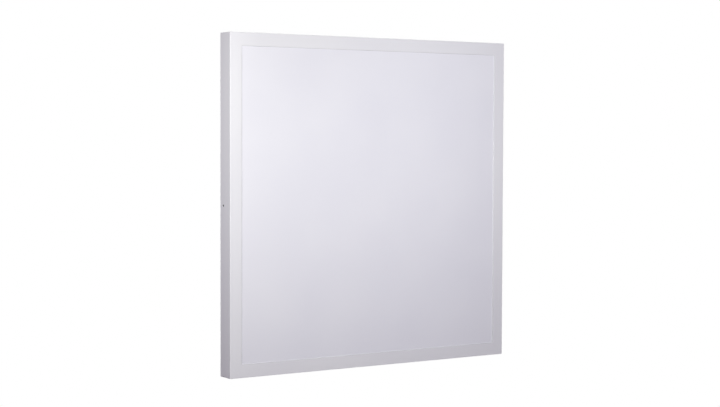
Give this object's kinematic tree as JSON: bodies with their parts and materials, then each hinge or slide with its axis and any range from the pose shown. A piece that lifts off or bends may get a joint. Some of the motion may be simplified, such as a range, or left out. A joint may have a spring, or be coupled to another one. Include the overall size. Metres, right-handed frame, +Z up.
{
  "type": "led panel light",
  "caption": "Flat square surface-mounted LED panel: a white cover frame with a recessed opal diffuser over a pressed tray with LED strips, driver and supply terminal.",
  "frame": {"origin": "centre of the panel in the plane of the tray's wall face", "axes": "+Y out of the back into the wall, the light shines towards -Y, +X to the viewer's right when facing the light, +Z up"},
  "size_m": [0.6, 0.035, 0.6],
  "materials": {
    "white_powder_coat": "satin white powder coat",
    "tray_coat": "satin white coat",
    "opal_sheet": "satin opal",
    "white_foam": "matt foam",
    "zinc_steel": "bright zinc plate",
    "white_solder_mask": "white solder mask on aluminium",
    "natural_nylon": "natural nylon",
    "white_polycarbonate": "moulded white",
    "orange_plastic": "moulded orange",
    "black_rubber": "matt black",
    "green_circuit_board": "green solder mask",
    "green_yellow_pvc": "wire insulation",
    "grey_pvc": "wire insulation",
    "black_oxide_steel": "black oxide"
  },
  "bodies": {
    "base": {"base_tray": "tray_coat", "cable_grommet": "black_rubber", "cord_clamp": "natural_nylon", "cord_clamp_screw": "zinc_steel", "driver_board": "green_circuit_board", "driver_case": "white_polycarbonate", "driver_lid": "white_polycarbonate", "driver_screw_1": "zinc_steel", "driver_screw_2": "zinc_steel", "earth_lead": "green_yellow_pvc", "earth_nut": "zinc_steel", "led_strip_1": "white_solder_mask", "led_strip_2": "white_solder_mask", "led_strip_3": "white_solder_mask", "led_strip_4": "white_solder_mask", "led_strip_5": "white_solder_mask", "led_strip_6": "white_solder_mask", "mains_lead": "grey_pvc", "output_lead": "grey_pvc", "strip_jumper_1": "grey_pvc", "strip_jumper_2": "grey_pvc", "strip_jumper_3": "grey_pvc", "strip_jumper_4": "grey_pvc", "strip_jumper_5": "grey_pvc", "strip_rivet_1": "natural_nylon", "strip_rivet_10": "natural_nylon", "strip_rivet_11": "natural_nylon", "strip_rivet_12": "natural_nylon", "strip_rivet_2": "natural_nylon", "strip_rivet_3": "natural_nylon", "strip_rivet_4": "natural_nylon", "strip_rivet_5": "natural_nylon", "strip_rivet_6": "natural_nylon", "strip_rivet_7": "natural_nylon", "strip_rivet_8": "natural_nylon", "strip_rivet_9": "natural_nylon", "terminal_block": "white_polycarbonate", "terminal_screw": "zinc_steel"},
    "cover": {"clamp_plate_left": "zinc_steel", "clamp_plate_right": "zinc_steel", "cover_frame": "white_powder_coat", "diffuser": "opal_sheet", "edge_seal": "white_foam", "retainer_bottom": "zinc_steel", "retainer_left": "zinc_steel", "retainer_nut_1": "zinc_steel", "retainer_nut_2": "zinc_steel", "retainer_nut_3": "zinc_steel", "retainer_nut_4": "zinc_steel", "retainer_nut_5": "zinc_steel", "retainer_nut_6": "zinc_steel", "retainer_nut_7": "zinc_steel", "retainer_nut_8": "zinc_steel", "retainer_right": "zinc_steel", "retainer_top": "zinc_steel"},
    "release_button_1": {"release_button_1": "orange_plastic"},
    "release_button_2": {"release_button_2": "orange_plastic"},
    "release_button_3": {"release_button_3": "orange_plastic"},
    "side_screw_left": {"side_screw_left": "black_oxide_steel"},
    "side_screw_right": {"side_screw_right": "black_oxide_steel"}
  },
  "joints": [
    {"name": "cover_pull", "type": "slide", "parent": "base", "child": "cover", "axis": [0, -1, 0], "range_m": [0, 0.06]},
    {"name": "side_screw_left_out", "type": "slide", "parent": "cover", "child": "side_screw_left", "axis": [-1, 0, 0], "range_m": [0, 0.01]},
    {"name": "side_screw_right_out", "type": "slide", "parent": "cover", "child": "side_screw_right", "axis": [1, 0, 0], "range_m": [0, 0.01]},
    {"name": "release_button_1_press", "type": "slide", "parent": "base", "child": "release_button_1", "axis": [0, 1, 0], "range_m": [0, 0.0015], "stiffness_N_per_m": 1200},
    {"name": "release_button_2_press", "type": "slide", "parent": "base", "child": "release_button_2", "axis": [0, 1, 0], "range_m": [0, 0.0015], "stiffness_N_per_m": 1200},
    {"name": "release_button_3_press", "type": "slide", "parent": "base", "child": "release_button_3", "axis": [0, 1, 0], "range_m": [0, 0.0015], "stiffness_N_per_m": 1200}
  ]
}
